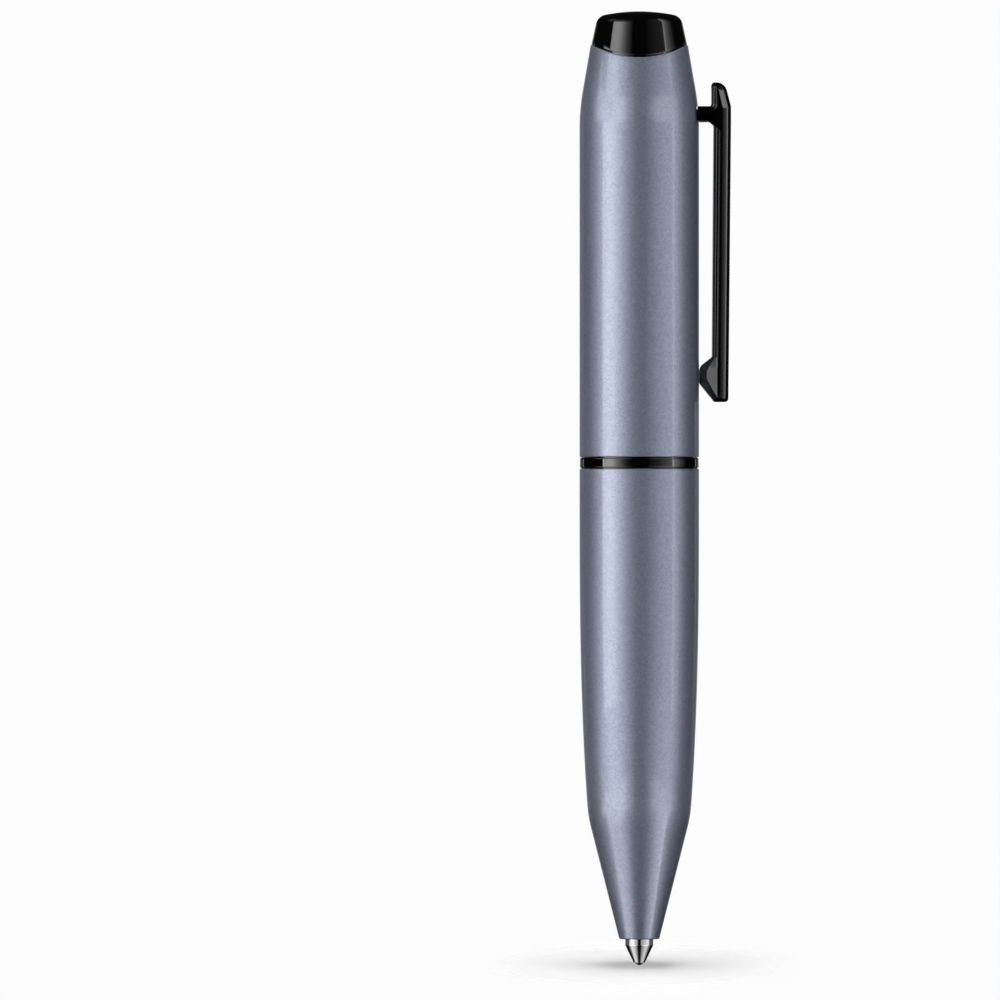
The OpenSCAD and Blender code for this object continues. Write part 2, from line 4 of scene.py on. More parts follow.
import bmesh
import bpy
import numpy as np
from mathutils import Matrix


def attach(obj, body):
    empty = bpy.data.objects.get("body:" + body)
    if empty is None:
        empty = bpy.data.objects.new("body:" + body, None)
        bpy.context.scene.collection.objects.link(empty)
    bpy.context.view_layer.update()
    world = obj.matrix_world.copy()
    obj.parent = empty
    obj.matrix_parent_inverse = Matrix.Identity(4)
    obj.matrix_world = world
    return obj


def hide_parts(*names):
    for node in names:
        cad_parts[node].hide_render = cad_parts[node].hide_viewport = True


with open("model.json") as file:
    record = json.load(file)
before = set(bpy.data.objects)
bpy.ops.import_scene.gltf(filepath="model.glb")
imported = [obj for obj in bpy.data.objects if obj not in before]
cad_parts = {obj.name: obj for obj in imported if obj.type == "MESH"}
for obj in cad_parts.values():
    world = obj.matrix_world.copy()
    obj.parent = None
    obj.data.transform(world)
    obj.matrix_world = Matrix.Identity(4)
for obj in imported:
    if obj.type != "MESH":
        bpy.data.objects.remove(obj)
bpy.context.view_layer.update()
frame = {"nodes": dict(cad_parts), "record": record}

nodes = frame["nodes"]
mm = 0.001
print("frame loaded:", len(nodes), "nodes")


# shapes
def roundedCorners(corners, steps=8, hold=0.03):
    # each corner [x, z, radius] becomes an arc: its centre lies on the bisector, radius / sin(half
    # the angle) away, and it is swept between the two points where it touches the sides. A hold
    # point on each side keeps the straights flat when shaded smooth
    corners = np.asarray(corners, float)
    point, radius = corners[:, :2], corners[:, 2:]
    back = np.vstack([point[:1], point[:-1]]) - point
    ahead = np.vstack([point[1:], point[-1:]]) - point
    back /= np.maximum(np.linalg.norm(back, axis=1, keepdims=True), 1e-9)
    ahead /= np.maximum(np.linalg.norm(ahead, axis=1, keepdims=True), 1e-9)
    half = np.arccos(np.clip((back * ahead).sum(1, keepdims=True), -1, 1)) / 2
    half = np.clip(half, 1e-3, np.pi / 2 - 1e-3)
    bisector = back + ahead
    bisector /= np.maximum(np.linalg.norm(bisector, axis=1, keepdims=True), 1e-9)
    centre = point + bisector * radius / np.sin(half)
    start = point + back * radius / np.tan(half)
    end = point + ahead * radius / np.tan(half)
    sweep = (np.pi - 2 * half)[:, :, None]
    t = np.linspace(0, 1, steps)[None, :, None]
    arcs = centre[:, None] + (np.sin((1 - t) * sweep) * (start - centre)[:, None]
                              + np.sin(t * sweep) * (end - centre)[:, None]) / np.sin(sweep)
    line = np.concatenate([(start + back * hold)[:, None], arcs, (end + ahead * hold)[:, None]], axis=1)
    return line.reshape(-1, 2)


def turned(profile, angle):
    # x = r cos(a), y = r sin(a), z = height, for every profile point [r, z] and every angle a
    r, z = np.asarray(profile, float).T
    return np.stack([np.outer(r, np.cos(angle)), np.outer(r, np.sin(angle)),
                     np.outer(z, np.ones_like(angle))], axis=-1)


def gridFaces(rows, columns, closeRows=False, closeColumns=True):
    # four neighbours of the grid for each face, with the last row or column joined to the first
    index = np.arange(rows * columns).reshape(rows, columns)
    if closeColumns:
        index = np.hstack([index, index[:, :1]])
    if closeRows:
        index = np.vstack([index, index[:1]])
    return np.stack([index[:-1, :-1], index[:-1, 1:], index[1:, 1:], index[1:, :-1]], axis=-1)


sharpDegrees = 38  # faces that meet at more than this keep a sharp edge


def makePiece(name, points, faces, body, slotName, replaced):
    # points in millimetres become a mesh in metres; doubles at poles and seams are merged
    mesh = bpy.data.meshes.new(name)
    mesh.from_pydata((points.reshape(-1, 3) * mm).tolist(), [], faces.reshape(-1, 4).tolist())
    work = bmesh.new()
    work.from_mesh(mesh)
    bmesh.ops.remove_doubles(work, verts=work.verts, dist=2e-7)
    bmesh.ops.dissolve_degenerate(work, edges=work.edges, dist=2e-7)
    bmesh.ops.recalc_face_normals(work, faces=work.faces)
    work.to_mesh(mesh)
    work.free()
    mesh.shade_smooth()
    mesh.set_sharp_from_angle(angle=math.radians(sharpDegrees))
    mesh.materials.append(finish[slotName])
    piece = bpy.data.objects.new(name, mesh)
    bpy.context.scene.collection.objects.link(piece)
    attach(piece, body)
    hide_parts(replaced)
    print("piece made:", name, len(mesh.vertices), "points")


# materials
def linear(hexColour):
    # an sRGB hex colour as linear red, green, blue and alpha
    channels = np.array([int(hexColour[i:i + 2], 16) for i in (1, 3, 5)]) / 255
    channels = np.where(channels <= 0.04045, channels / 12.92, ((channels + 0.055) / 1.055) ** 2.4)
    return (*channels.tolist(), 1.0)


def addNode(tree, kind, values=(), links=(), **settings):
    # one shader node: its settings, the values on its sockets and the sockets that feed it
    node = tree.nodes.new("ShaderNode" + kind)
    for key, value in settings.items():
        setattr(node, key, value)
    for key, value in dict(values).items():
        node.inputs[key].default_value = value
    for key, source in dict(links).items():
        tree.links.new(source, node.inputs[key])
    return node


def newMaterial(name, values):
    # a Principled surface whose uniform values sit on its own sockets
    material = bpy.data.materials.new(name)
    material.use_nodes = True
    tree = material.node_tree
    surface = tree.nodes["Principled BSDF"]
    for key, value in values.items():
        surface.inputs[key].default_value = value
    coords = addNode(tree, "TexCoord")
    return material, tree, surface, coords.outputs["Object"]


def perMm(size):
    # a pattern's scale on coordinates in metres, from its real size in millimetres
    return 1 / (size * mm)


def roughBetween(tree, limits, source):
    # roughness that follows a pattern from the lower limit to the upper one
    return addNode(tree, "MapRange", {"To Min": limits[0], "To Max": limits[1]}, {"Value": source})


def bumpOf(tree, relief, source):
    # a pattern as relief, [strength, depth in mm]
    return addNode(tree, "Bump", {"Strength": relief[0], "Distance": relief[1] * mm}, {"Height": source})


lacquerLook = {
    "colour": "#8e94a6", "dark": "#6f7586", "metal": 0.72, "rough": [0.38, 0.46], "coat": 0.5,
    "coatRough": 0.015, "coatIndex": 1.5,
    # sizes of flakes, clouds and orange peel in mm; relief of grain and skin, [strength, depth in mm]
    "flake": 0.16, "cloud": 0.44, "peel": 1.6, "grain": [0.35, 0.006], "skin": [0.2, 0.001],
}


def metallicLacquer():
    # sprayed metallic base coat under a thin clear coat: soft broad sheen, fine sparkle, crisp
    # faint mirror of the lamps on top. Flakes of 0.02 mm are drawn 0.16 mm wide so that they show
    look = lacquerLook
    material, tree, surface, place = newMaterial("metallicLacquer", {
        "Metallic": look["metal"], "Roughness": sum(look["rough"]) / 2, "Coat Weight": look["coat"],
        "Coat Roughness": look["coatRough"], "Coat IOR": look["coatIndex"]})
    flakes = addNode(tree, "TexVoronoi", {"Scale": perMm(look["flake"])}, {"Vector": place})
    clouds = addNode(tree, "TexNoise", {"Scale": perMm(look["cloud"]), "Detail": 3.0}, {"Vector": place})
    peel = addNode(tree, "TexNoise", {"Scale": perMm(look["peel"]), "Detail": 1.0}, {"Vector": place})
    glint = addNode(tree, "SeparateColor", (), {"Color": flakes.outputs["Color"]})
    tone = addNode(tree, "Mix", {"Factor": 0.5}, {
        "A": glint.outputs["Red"], "B": clouds.outputs["Fac"]}, data_type="FLOAT")
    colour = addNode(tree, "Mix", {6: linear(look["dark"]), 7: linear(look["colour"])},
                     {"Factor": tone.outputs[0]}, data_type="RGBA")
    rough = roughBetween(tree, look["rough"], glint.outputs["Green"])
    grain = bumpOf(tree, look["grain"], tone.outputs[0])
    skin = bumpOf(tree, look["skin"], peel.outputs["Fac"])
    tree.links.new(colour.outputs[2], surface.inputs["Base Color"])
    tree.links.new(rough.outputs[0], surface.inputs["Roughness"])
    tree.links.new(grain.outputs[0], surface.inputs["Normal"])
    tree.links.new(skin.outputs[0], surface.inputs["Coat Normal"])
    return material


# sizes of orange peel and haze in mm, relief of the skin, [strength, depth in mm]
blackLook = {"colour": "#010101", "worn": "#030303", "rough": [0.05, 0.09], "index": 1.62,
             "peel": 1.4, "haze": 0.35, "skin": [0.2, 0.001]}


def pianoLacquer():
    # polished black lacquer: mirror-like and deep, with the faintest orange peel
    look = blackLook
    material, tree, surface, place = newMaterial("polishedBlackLacquer", {
        "Roughness": sum(look["rough"]) / 2, "IOR": look["index"]})
    peel = addNode(tree, "TexNoise", {"Scale": perMm(look["peel"]), "Detail": 2.0}, {"Vector": place})
    haze = addNode(tree, "TexNoise", {"Scale": perMm(look["haze"]), "Detail": 4.0}, {"Vector": place})
    colour = addNode(tree, "Mix", {6: linear(look["colour"]), 7: linear(look["worn"])},
                     {"Factor": haze.outputs["Fac"]}, data_type="RGBA")
    rough = roughBetween(tree, look["rough"], haze.outputs["Fac"])
    skin = bumpOf(tree, look["skin"], peel.outputs["Fac"])
    tree.links.new(colour.outputs[2], surface.inputs["Base Color"])
    tree.links.new(rough.outputs[0], surface.inputs["Roughness"])
    tree.links.new(skin.outputs[0], surface.inputs["Normal"])
    return material


# how far rings are squeezed across the axis, sizes of stains and clouds in mm, spread of the roughness
# as shares, strength of the relief
turnedLook = {"squeeze": 0.02, "stain": 1.8, "spread": [0.8, 1.25], "relief": 0.5}
mouldedLook = {"cloud": 2.5, "spread": [0.85, 1.15], "relief": 0.4, "index": 1.48}


def turnedMetal(name, colour, dark, roughness, pitch, depth):
    # metal off the lathe: rings of the tool's feed round the axis, so noise is squeezed along it
    look = turnedLook
    material, tree, surface, place = newMaterial(name, {"Metallic": 1.0, "Roughness": roughness})
    squeezed = addNode(tree, "Mapping", {"Scale": (look["squeeze"], look["squeeze"], 1.0)},
                       {"Vector": place})
    rings = addNode(tree, "TexNoise", {"Scale": perMm(pitch), "Detail": 2.0},
                    {"Vector": squeezed.outputs[0]})
    stain = addNode(tree, "TexNoise", {"Scale": perMm(look["stain"]), "Detail": 3.0}, {"Vector": place})
    shade = addNode(tree, "Mix", {6: linear(dark), 7: linear(colour)},
                    {"Factor": stain.outputs["Fac"]}, data_type="RGBA")
    rough = roughBetween(tree, [roughness * share for share in look["spread"]], rings.outputs["Fac"])
    cut = bumpOf(tree, [look["relief"], depth], rings.outputs["Fac"])
    tree.links.new(shade.outputs[2], surface.inputs["Base Color"])
    tree.links.new(rough.outputs[0], surface.inputs["Roughness"])
    tree.links.new(cut.outputs[0], surface.inputs["Normal"])
    return material


def mouldedPlastic(name, colour, dark, roughness, texture, depth):
    # a moulded or poured piece: even colour with slow clouds, and the fine skin of its mould
    look = mouldedLook
    material, tree, surface, place = newMaterial(name, {"Roughness": roughness, "IOR": look["index"]})
    clouds = addNode(tree, "TexNoise", {"Scale": perMm(look["cloud"]), "Detail": 2.0}, {"Vector": place})
    skin = addNode(tree, "TexNoise", {"Scale": perMm(texture), "Detail": 3.0}, {"Vector": place})
    shade = addNode(tree, "Mix", {6: linear(dark), 7: linear(colour)},
                    {"Factor": clouds.outputs["Fac"]}, data_type="RGBA")
    rough = roughBetween(tree, [roughness * share for share in look["spread"]], skin.outputs["Fac"])
    relief = bumpOf(tree, [look["relief"], depth], skin.outputs["Fac"])
    tree.links.new(shade.outputs[2], surface.inputs["Base Color"])
    tree.links.new(rough.outputs[0], surface.inputs["Roughness"])
    tree.links.new(relief.outputs[0], surface.inputs["Normal"])
    return material


finish = {
    "lacquer": metallicLacquer(),
    "black_lacquer": pianoLacquer(),
    # nickel silver, turned and polished: bright, slightly warm mirror with fine rings
    "bright_point": turnedMetal("polishedNickelSilver", "#d6d6d6", "#c8c8c8", 0.09, 0.12, 0.0015),
    # tungsten carbide, ground: a darker, very fine mirror
    "ball_metal": turnedMetal("groundCarbide", "#a3a2a4", "#949396", 0.12, 0.05, 0.0005),
    # spring steel, bright drawn: light grey with fine lines
    "spring_steel": turnedMetal("drawnSpringSteel", "#c9cacd", "#b4b5b9", 0.25, 0.08, 0.002),
    # brass, turned and left bare: yellow, with lines of the tool
    "turned_brass": turnedMetal("turnedBrass", "#d9b46a", "#c49c52", 0.28, 0.15, 0.004),
    # acetal, moulded: milky white and waxy
    "acetal": mouldedPlastic("mouldedAcetal", "#ebe8df", "#dfdbd0", 0.42, 0.12, 0.003),
    # nitrile rubber, moulded: dull black
    "rubber_ring": mouldedPlastic("mouldedNitrile", "#1c1c1c", "#141414", 0.7, 0.08, 0.006),
    # paste ink: blue-black and wet
    "ink": mouldedPlastic("pasteInk", "#10183a", "#0b1028", 0.15, 0.4, 0.002),
    # follower grease: pale yellow and wet
    "grease": mouldedPlastic("followerGrease", "#ddd3a0", "#cfc48c", 0.22, 0.5, 0.003),
    # polyethylene, moulded: white, slightly dull
    "plug_plastic": mouldedPlastic("mouldedPolyethylene", "#e9e9e7", "#dcdcd9", 0.5, 0.1, 0.003),
}
for entry in frame["record"]["subparts"]:
    node = nodes[entry["node"]]
    node.data.materials.clear()
    node.data.materials.append(finish[entry["material_slot"]])
print("materials made:", len(finish))


# barrels
ring = np.linspace(-np.pi, np.pi, 256, endpoint=False)  # column 128 looks at the clip

frontSizes = {
    "tip": 2.9, "kink": 16.4, "full": 50.0, "top": 54.6,
    "tipRadius": 2.2, "kinkRadius": 5.63, "radius": 6.57, "topInner": 5.9,
    "tipEdge": 0.19, "blend": 14.0, "blendSide": 2.4, "topEdge": 0.12, "belly": 2.65,
    "bellyRows": 44, "edgeSteps": 14,
    # inner steps from the mouth down to the nose, [radius, height where it starts]
    "bore": [[5.8, 54.6], [5.8, 46.54], [5.289, 46.54], [5.289, 27.6], [4.65, 27.6], [4.65, 16.4],
             [3.668, 16.4], [3.668, 12.5], [2.4, 12.5], [2.4, 6.2], [2.04, 6.2], [2.04, 4.4],
             [1.65, 4.4], [1.65, 2.9]],
}


def frontBarrel():
    # straight nose cone, then r = R - (R - Rkink) ((zFull - z) / length) ^ belly up to full width
    s = frontSizes
    z = np.linspace(s["kink"] + s["blendSide"], s["full"], s["bellyRows"])
    below = (s["full"] - z) / (s["full"] - s["kink"])
    swell = s["radius"] - (s["radius"] - s["kinkRadius"]) * below ** s["belly"]
    outside = np.vstack([
        roundedCorners([[s["bore"][-1][0], s["tip"], 0], [s["tipRadius"], s["tip"], s["tipEdge"]],
                        [s["kinkRadius"], s["kink"], s["blend"]], [swell[0], z[0], 0]],
                       s["edgeSteps"])[:-1],
        np.stack([swell, z], axis=1),
        roundedCorners([[s["radius"], s["full"] + 1, 0], [s["radius"], s["top"], s["topEdge"]],
                        [s["topInner"], s["top"], 0]])])
    points = turned(np.vstack([outside, s["bore"]]), ring)
    makePiece("frontBarrelShell", points, gridFaces(*points.shape[:2], closeRows=True),
              "front_barrel", "lacquer", "front_barrel")


rearSizes = {
    "low": 55.9, "radius": 6.57, "lowEdge": 0.12, "lowInner": 5.85,
    "shoulder": 92.0, "shoulderRadius": 25.0, "taper": 9.8, "rim": 101.25, "rimRadius": 5.342,
    "seamRadius": 9.8, "sag": 1.585, "rimEdge": 0.14,
    "bore": 5.8, "pocket": 4.62, "pocketLow": 88.84, "pocketHigh": 97.4, "mouth": 4.0,
    "windowLow": 92.715, "windowHigh": 94.46, "windowColumns": 10,
    # points up the wall: below, beside and above the window, on the cone and on the mouth's face
    "lowRows": 4, "windowRows": 9, "highRows": 8, "coneRows": 7, "faceRows": 5,
}


def seamHeight(r, angle, gap=0.0):
    # the cylinder along Y that cuts the rear barrel's mouth: low at the front and back of the pen
    s = rearSizes
    top = s["rim"] - s["sag"] + s["seamRadius"]
    return top - np.sqrt((s["seamRadius"] - gap) ** 2 - (r * np.cos(angle)) ** 2)


def seamRim(coneRadius, gap, tries=12):
    # where a cone meets that cylinder, found by going to and fro between radius and height
    z = np.full_like(ring, rearSizes["rim"])
    for _ in range(tries):
        z = seamHeight(coneRadius(z), ring, gap)
    return coneRadius(z), z


def bend(start, corner, end, steps=5):
    # a quadratic curve from start to end that leans on the corner, as rows of [r, z]
    t = np.linspace(0, 1, steps)[:, None]
    return [(1 - t) ** 2 * a + 2 * t * (1 - t) * b + t ** 2 * c for a, b, c in zip(start, corner, end)]


def rearBarrel():
    # cylinder, round shoulder and cone outside; the mouth follows the seam cylinder round the pen
    s = rearSizes
    slope = math.tan(math.radians(s["taper"]))
    flat = np.ones_like(ring)
    coneRadius = lambda z: s["rimRadius"] + (s["rim"] - z) * slope
    arcTop = s["shoulder"] + s["shoulderRadius"] * math.sin(math.radians(s["taper"]))
    window = np.linspace(s["windowLow"], s["windowHigh"], s["windowRows"])
    arcZ = np.concatenate([np.linspace(s["shoulder"], s["windowLow"], s["lowRows"])[:-1], window,
                           np.linspace(s["windowHigh"], arcTop, s["highRows"])[1:]])
    arcR = s["radius"] - s["shoulderRadius"] + np.sqrt(
        s["shoulderRadius"] ** 2 - (arcZ - s["shoulder"]) ** 2)
    below = roundedCorners([[s["lowInner"], s["low"], 0], [s["radius"], s["low"], s["lowEdge"]],
                            [s["radius"], s["low"] + 1, 0], [s["radius"], s["shoulder"] - 1, 0]])
    rimR, rimZ = seamRim(coneRadius, 0.0)
    edge = s["rimEdge"]
    edgeZ = rimZ - edge * math.cos(math.radians(s["taper"]))
    share = np.linspace(0, 1, s["coneRows"])[1:, None]
    coneZ = arcZ[-1] + share * (edgeZ - arcZ[-1])
    bendR, bendZ = bend((coneRadius(edgeZ), edgeZ), (rimR, rimZ),
                        (rimR - edge, seamHeight(rimR - edge, ring)))
    faceR = rimR - edge + np.linspace(0, 1, s["faceRows"])[1:, None] * (s["mouth"] - rimR + edge)
    rowsR = np.vstack([np.outer(below[:, 0], flat), np.outer(arcR, flat), coneRadius(coneZ), bendR, faceR])
    rowsZ = np.vstack([np.outer(below[:, 1], flat), np.outer(arcZ, flat), coneZ, bendZ,
                       seamHeight(faceR, ring)])
    inside = np.vstack([[[s["mouth"], s["pocketHigh"]], [s["pocket"], s["pocketHigh"]]],
                        np.stack([0 * window + s["pocket"], window[::-1]], axis=1),
                        [[s["pocket"], s["pocketLow"]], [s["bore"], s["pocketLow"]],
                         [s["bore"], s["low"]]]])
    outerLow = len(below) + s["lowRows"] - 1
    innerHigh = len(rowsR) + 2
    rowsR = np.vstack([rowsR, np.outer(inside[:, 0], flat)])
    rowsZ = np.vstack([rowsZ, np.outer(inside[:, 1], flat)])
    points = np.stack([rowsR * np.cos(ring), rowsR * np.sin(ring), rowsZ], axis=-1)
    count, columns = rowsR.shape
    faces = gridFaces(count, columns, closeRows=True)
    # the window for the clip's bridge: its cells are left out of both walls, and its sides are closed
    middle, half, deep = columns // 2, s["windowColumns"], len(window) - 1
    keep = np.ones((count, columns), bool)
    keep[outerLow:outerLow + deep, middle - half:middle + half] = False
    keep[innerHigh:innerHigh + deep, middle - half:middle + half] = False
    index = np.arange(count * columns).reshape(count, columns)
    span = slice(middle - half, middle + half + 1)
    outer = index[outerLow:outerLow + deep + 1, span]
    inner = index[innerHigh:innerHigh + deep + 1, span][::-1]
    walls = [np.stack([a[:-1], a[1:], b[1:], b[:-1]], axis=-1) for a, b in (
        (outer[0], inner[0]), (outer[-1], inner[-1]), (outer[:, 0], inner[:, 0]),
        (outer[:, -1], inner[:, -1]))]
    makePiece("rearBarrelShell", points, np.vstack([faces[keep], *walls]),
              "rear_barrel", "lacquer", "rear_barrel")


crownSizes = {
    "radius": 5.262, "taper": 12.1, "height": 3.65, "dome": 0.55, "domeRadius": 3.6, "edge": 1.25,
    "rimEdge": 0.08, "gap": 0.19, "gapSide": 0.03, "lip": 0.14, "lipGap": 0.02,
    "spigot": 3.96, "spigotLow": 98.05, "stud": 1.52, "studHigh": 102.05,
    "domeRows": 12, "edgeSteps": 14, "faceRows": 5, "coneRows": 4,
}


def crownCap():
    # a cone between the seam and a round top edge, closed by a flat dome; a spigot below. The seam
    # is open only as deep as the lip and narrows towards the sides, so that no light passes through
    s = crownSizes
    rim = rearSizes["rim"]
    slope = math.tan(math.radians(s["taper"]))
    flat = np.ones_like(ring)
    coneRadius = lambda z: s["radius"] - (z - rim) * slope
    top = rim + s["height"]
    edgeRadius = coneRadius(top - s["dome"])
    domeRadius = (edgeRadius ** 2 + s["dome"] ** 2) / (2 * s["dome"])
    domeR = np.linspace(s["domeRadius"], 0, s["domeRows"])
    above = roundedCorners(np.vstack([
        [[coneRadius(rim + 1), rim + 1, 0], [edgeRadius, top - s["dome"], s["edge"]]],
        np.stack([domeR, top - domeRadius + np.sqrt(domeRadius ** 2 - domeR ** 2),
                  0 * domeR], axis=1)]), s["edgeSteps"])
    gap = s["gapSide"] + (s["gap"] - s["gapSide"]) * np.abs(np.sin(ring))
    rimR, rimZ = seamRim(coneRadius, gap)
    edge = s["rimEdge"]
    edgeZ = rimZ + edge
    across = np.linspace(0, 1, s["faceRows"])[:, None]
    faceR = s["spigot"] + across * (rimR - edge - s["lip"] - s["spigot"])
    lipR = faceR[-1:]
    bendR, bendZ = bend((rimR - edge, seamHeight(rimR - edge, ring, gap)), (rimR, rimZ),
                        (coneRadius(edgeZ), edgeZ))
    coneZ = edgeZ + np.linspace(0, 1, s["coneRows"])[1:-1, None] * (rim + 1 - edgeZ)
    below = np.array([[0, s["studHigh"]], [s["stud"], s["studHigh"]], [s["stud"], s["spigotLow"]],
                      [s["spigot"], s["spigotLow"]]])
    rowsR = np.vstack([np.outer(below[:, 0], flat), faceR, lipR, bendR, coneRadius(coneZ),
                       np.outer(above[:, 0], flat)])
    rowsZ = np.vstack([np.outer(below[:, 1], flat), seamHeight(faceR, ring, s["lipGap"]),
                       seamHeight(lipR, ring, gap), bendZ, coneZ, np.outer(above[:, 1], flat)])
    points = np.stack([rowsR * np.cos(ring), rowsR * np.sin(ring), rowsZ], axis=-1)
    makePiece("crownCap", points, gridFaces(*points.shape[:2]),
              "rear_barrel", "black_lacquer", "crown")


ringSizes = {"bore": 5.26, "groove": 6.40, "radius": 6.54, "low": 54.61, "seat": 54.7, "high": 55.8,
             "top": 55.88, "edge": 0.13}


def centreRing():
    # a flat band with soft edges, with a shallow groove above and below it
    s = ringSizes
    profile = roundedCorners([
        [s["bore"], s["low"], 0], [s["groove"], s["low"], 0], [s["groove"], s["seat"], 0],
        [s["radius"], s["seat"], s["edge"]], [s["radius"], s["high"], s["edge"]],
        [s["groove"], s["high"], 0], [s["groove"], s["top"], 0], [s["bore"], s["top"], 0]], hold=0.005)
    points = turned(profile, ring)
    makePiece("centreRingBand", points, gridFaces(*points.shape[:2], closeRows=True),
              "front_barrel", "black_lacquer", "centre_ring")


frontBarrel()
rearBarrel()
crownCap()
centreRing()


# point
pointSizes = {
    "lip": 0.62, "lipLow": 0.3, "lipEdge": 0.05, "cone": 2.2, "coneEdge": 0.12, "radius": 1.55,
    "top": 12.5, "tail": 1.98, "tailTop": 15.5, "tailEdge": 0.2,
    "seat": 0.52, "ball": 0.5, "channel": 0.35, "seatRows": 12, "ballRows": 33,
}


def pointBody():
    # cone, shank and tail outside; the ink channel and the round seat of the ball inside
    s = pointSizes
    seatZ = s["ball"] + math.sqrt(s["seat"] ** 2 - s["channel"] ** 2)
    swing = np.linspace(math.asin(s["channel"] / s["seat"]), math.pi - math.acos(
        (s["ball"] - s["lipLow"]) / s["seat"]), s["seatRows"])
    seat = np.stack([s["seat"] * np.sin(swing), s["ball"] + s["seat"] * np.cos(swing)], axis=1)
    outside = roundedCorners([
        [seat[-1, 0], s["lipLow"], 0], [s["lip"], s["lipLow"], s["lipEdge"]],
        [s["radius"], s["cone"], s["coneEdge"]], [s["radius"], s["top"], 0], [s["tail"], s["top"], 0],
        [s["tail"], s["tailTop"], s["tailEdge"]],
        [s["channel"], s["tailTop"], 0], [s["channel"], seatZ, 0]])
    points = turned(np.vstack([outside, seat]), ring[::2])
    makePiece("pointCone", points, gridFaces(*points.shape[:2], closeRows=True),
              "refill", "bright_point", "point_body")


def writingBall():
    # a sphere from its lowest to its highest point
    swing = np.linspace(0, math.pi, pointSizes["ballRows"])
    radius = pointSizes["ball"]
    points = turned(np.stack([radius * np.sin(swing), radius - radius * np.cos(swing)], axis=1), ring[::4])
    makePiece("ballSphere", points, gridFaces(*points.shape[:2]),
              "ball", "ball_metal", "writing_ball")


pointBody()
writingBall()


# clip
clipSizes = {
    "notchRadius": 1.5, "notchCentre": 97.845, "bossRadius": 6.63, "footTilt": 22.3, "step": 0.1,
    "frontHalf": 1.31, "slopeHalf": 2.07, "middleHalf": 2.23, "sideHalf": 2.35, "endHalf": 1.6,
    "endSlopeHalf": 2.2,
    # the step's depth at the bar's ends, and how much the back bevel narrows the bar for its length
    "endStep": 0.03, "backSlope": 0.75,
    # outline points at each end that keep the ends' widths, and points over which these blend in
    "endPoints": 9, "blendPoints": 10,
    # lengths of the rounded edges before and after each inner line across the bar
    "edges": [[0.06, 0.06], [0.06, 0.06], [0.12, 0.15], [0.15, 0.1], [0.06, 0.04], [0.04, 0.05],
              [0.1, 0.12], [0.1, 0.1]],
    # above this height the back stays outside the barrel's radius
    "bossLow": 90.0,
    # nested side outlines from the lower end up to the horns, corner for corner, as [x, z, radius]:
    # front face, end of its sloped band, middle and end of its crowned bevel
    "front": [[8.88, 61.945, 0], [9.775, 61.945, 0.4], [9.795, 64.0, 0], [9.815, 65.6, 0],
              [9.83, 66.9, 0], [10.06, 91.5, 0], [10.07, 92.775, 0], [10.07, 93.3, 0],
              [10.07, 94.425, 1.5], [9.388, 97.045, 1.15], [8.6, 97.045, 0]],
    "slopeEnd": [[8.88, 62.275, 0], [9.445, 62.275, 0.2], [9.465, 64.0, 0], [9.485, 65.6, 0],
                 [9.50, 66.9, 0], [9.73, 91.5, 0], [9.74, 92.775, 0], [9.74, 93.3, 0],
                 [9.74, 94.383, 1.5], [9.132, 96.715, 0.85], [8.6, 96.715, 0]],
    "middle": [[8.88, 62.42, 0], [9.195, 62.42, 0.1], [9.215, 64.0, 0], [9.235, 65.6, 0],
               [9.25, 66.9, 0], [9.48, 91.5, 0], [9.49, 92.775, 0], [9.49, 93.3, 0],
               [9.49, 94.34, 1.5], [8.93, 96.57, 0.6], [8.6, 96.57, 0]],
    "bevelEnd": [[8.88, 62.555, 0], [8.845, 62.555, 0.03], [8.865, 64.0, 0], [8.885, 65.6, 0],
                 [8.90, 66.9, 0], [9.13, 91.5, 0], [9.14, 92.775, 0], [9.14, 93.3, 0],
                 [9.14, 94.28, 1.5], [8.68, 96.435, 0.3], [8.6, 96.435, 0]],
    # inner line of the flat side, the small step beside it, start of the back bevel, back face with
    # foot, bridge and horns
    "sideEnd": [[8.88, 62.555, 0], [8.56, 62.70, 0.03], [8.56, 64.0, 0], [8.56, 65.6, 0],
                [8.59, 66.9, 0], [8.85, 93.495, 1.33], [6.4, 93.495, 0], [6.4, 93.705, 0],
                [8.50, 93.705, 0.98], [8.46, 96.435, 0.02], [8.6, 96.435, 0]],
    "stepEnd": [[8.88, 62.5, 0], [8.50, 62.62, 0.03], [8.46, 64.0, 0.3], [8.46, 65.6, 0.3],
                [8.51, 66.85, 0], [8.77, 93.395, 1.23], [6.4, 93.395, 0], [6.4, 93.805, 0],
                [8.42, 93.805, 0.88], [8.38, 96.5, 0.06], [8.6, 96.5, 0]],
    "bevelStart": [[8.88, 62.275, 0], [8.60, 62.43, 0.1], [7.28, 64.48, 1.3], [7.28, 65.44, 1.3],
                   [8.25, 66.66, 0.2], [8.51, 93.145, 1.02], [6.4, 93.145, 0], [6.4, 94.055, 0],
                   [8.18, 94.055, 0.67], [8.18, 96.715, 0.2], [8.6, 96.715, 0]],
    "back": [[8.88, 61.945, 0], [8.24, 61.945, 0.3], [6.58, 63.995, 0.35], [6.58, 65.80, 1.0],
             [7.99, 66.895, 0.3], [8.17, 92.775, 0.65], [6.4, 92.775, 0], [6.4, 94.425, 0],
             [7.93, 94.425, 0.3], [7.93, 97.045, 0.3], [8.6, 97.045, 0]],
    "footSide": 8.56, "footTop": [66.45, 66.75],
    # the tongue through the barrel: side outline and half width
    "tongue": [[7.6, 92.775, 0], [3.2, 92.775, 0], [1.3, 93.02, 0.3], [1.3, 94.09, 0.3],
               [7.6, 94.09, 0]],
    "tongueHalf": 1.5, "tongueEdge": 0.1,
}


